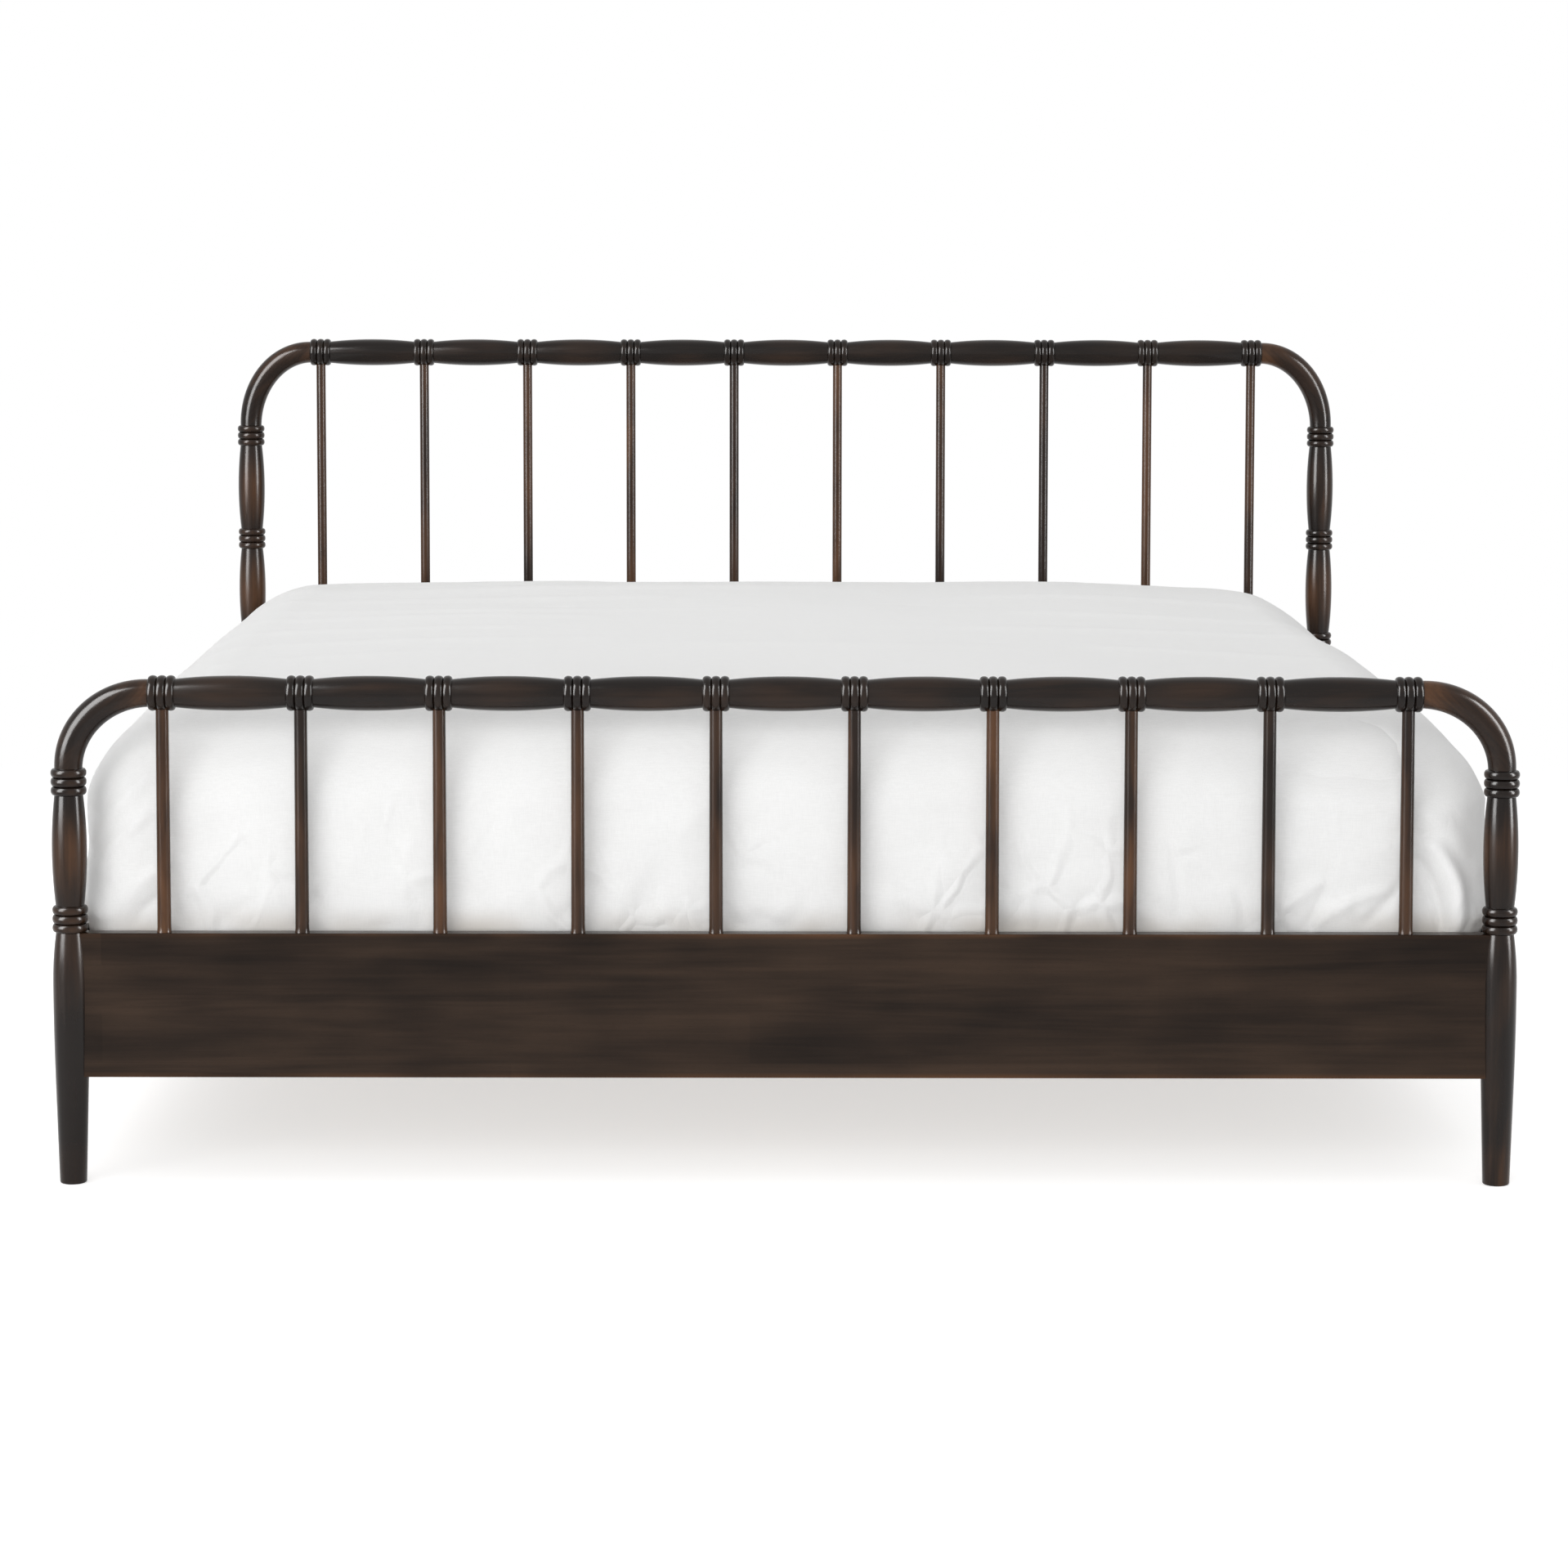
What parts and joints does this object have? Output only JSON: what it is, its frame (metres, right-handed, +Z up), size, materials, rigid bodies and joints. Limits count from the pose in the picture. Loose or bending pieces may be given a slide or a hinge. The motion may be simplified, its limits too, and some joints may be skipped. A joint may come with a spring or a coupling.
{
  "type": "spindle bed",
  "caption": "Wooden spindle bed with turned beaded posts and rails, bent turned corners, low panels, side rails, slats, and a mattress under a tucked cover.",
  "frame": {"origin": "on the floor under the middle of the bed", "axes": "+X to the right seen from the foot, +Y from footboard to headboard, +Z up"},
  "size_m": [2.1034, 2.1314, 1.1635],
  "materials": {
    "dark_wood": "satin lacquer, near-black brown",
    "slat_wood": "planed and unfinished",
    "zinc_steel": "zinc plated",
    "black_plastic": "matt",
    "ticking": "woven ticking",
    "white_cotton": "plain white cotton"
  },
  "bodies": {
    "bed_frame": {"footboard_post_left": "dark_wood", "footboard_corner_left": "dark_wood", "footboard_post_right": "dark_wood", "footboard_corner_right": "dark_wood", "footboard_top_rail": "dark_wood", "footboard_panel": "dark_wood", "footboard_spindle_01": "dark_wood", "footboard_spindle_02": "dark_wood", "footboard_spindle_03": "dark_wood", "footboard_spindle_04": "dark_wood", "footboard_spindle_05": "dark_wood", "footboard_spindle_06": "dark_wood", "footboard_spindle_07": "dark_wood", "footboard_spindle_08": "dark_wood", "footboard_spindle_09": "dark_wood", "footboard_spindle_10": "dark_wood", "headboard_post_left": "dark_wood", "headboard_corner_left": "dark_wood", "headboard_post_right": "dark_wood", "headboard_corner_right": "dark_wood", "headboard_top_rail": "dark_wood", "headboard_panel": "dark_wood", "headboard_spindle_01": "dark_wood", "headboard_spindle_02": "dark_wood", "headboard_spindle_03": "dark_wood", "headboard_spindle_04": "dark_wood", "headboard_spindle_05": "dark_wood", "headboard_spindle_06": "dark_wood", "headboard_spindle_07": "dark_wood", "headboard_spindle_08": "dark_wood", "headboard_spindle_09": "dark_wood", "headboard_spindle_10": "dark_wood", "side_rail_left": "dark_wood", "slat_cleat_left": "slat_wood", "side_rail_right": "dark_wood", "slat_cleat_right": "slat_wood", "slat_01": "slat_wood", "slat_02": "slat_wood", "slat_03": "slat_wood", "slat_04": "slat_wood", "slat_05": "slat_wood", "slat_06": "slat_wood", "slat_07": "slat_wood", "slat_08": "slat_wood", "slat_09": "slat_wood", "slat_10": "slat_wood", "slat_11": "slat_wood", "slat_12": "slat_wood", "center_beam": "slat_wood", "center_leg_1": "slat_wood", "center_leg_2": "slat_wood", "beam_hangers": "zinc_steel", "hanger_screws": "zinc_steel", "leg_glides": "black_plastic", "rail_hook_plates": "zinc_steel", "post_receiver_plates": "zinc_steel", "corner_dowels": "slat_wood"},
    "bedding": {"mattress": "ticking", "duvet": "white_cotton"}
  },
  "joints": [
    {"name": "mattress_lift", "type": "slide", "parent": "bed_frame", "child": "bedding", "axis": [0, 0, 1], "range_m": [0, 0.45]}
  ]
}
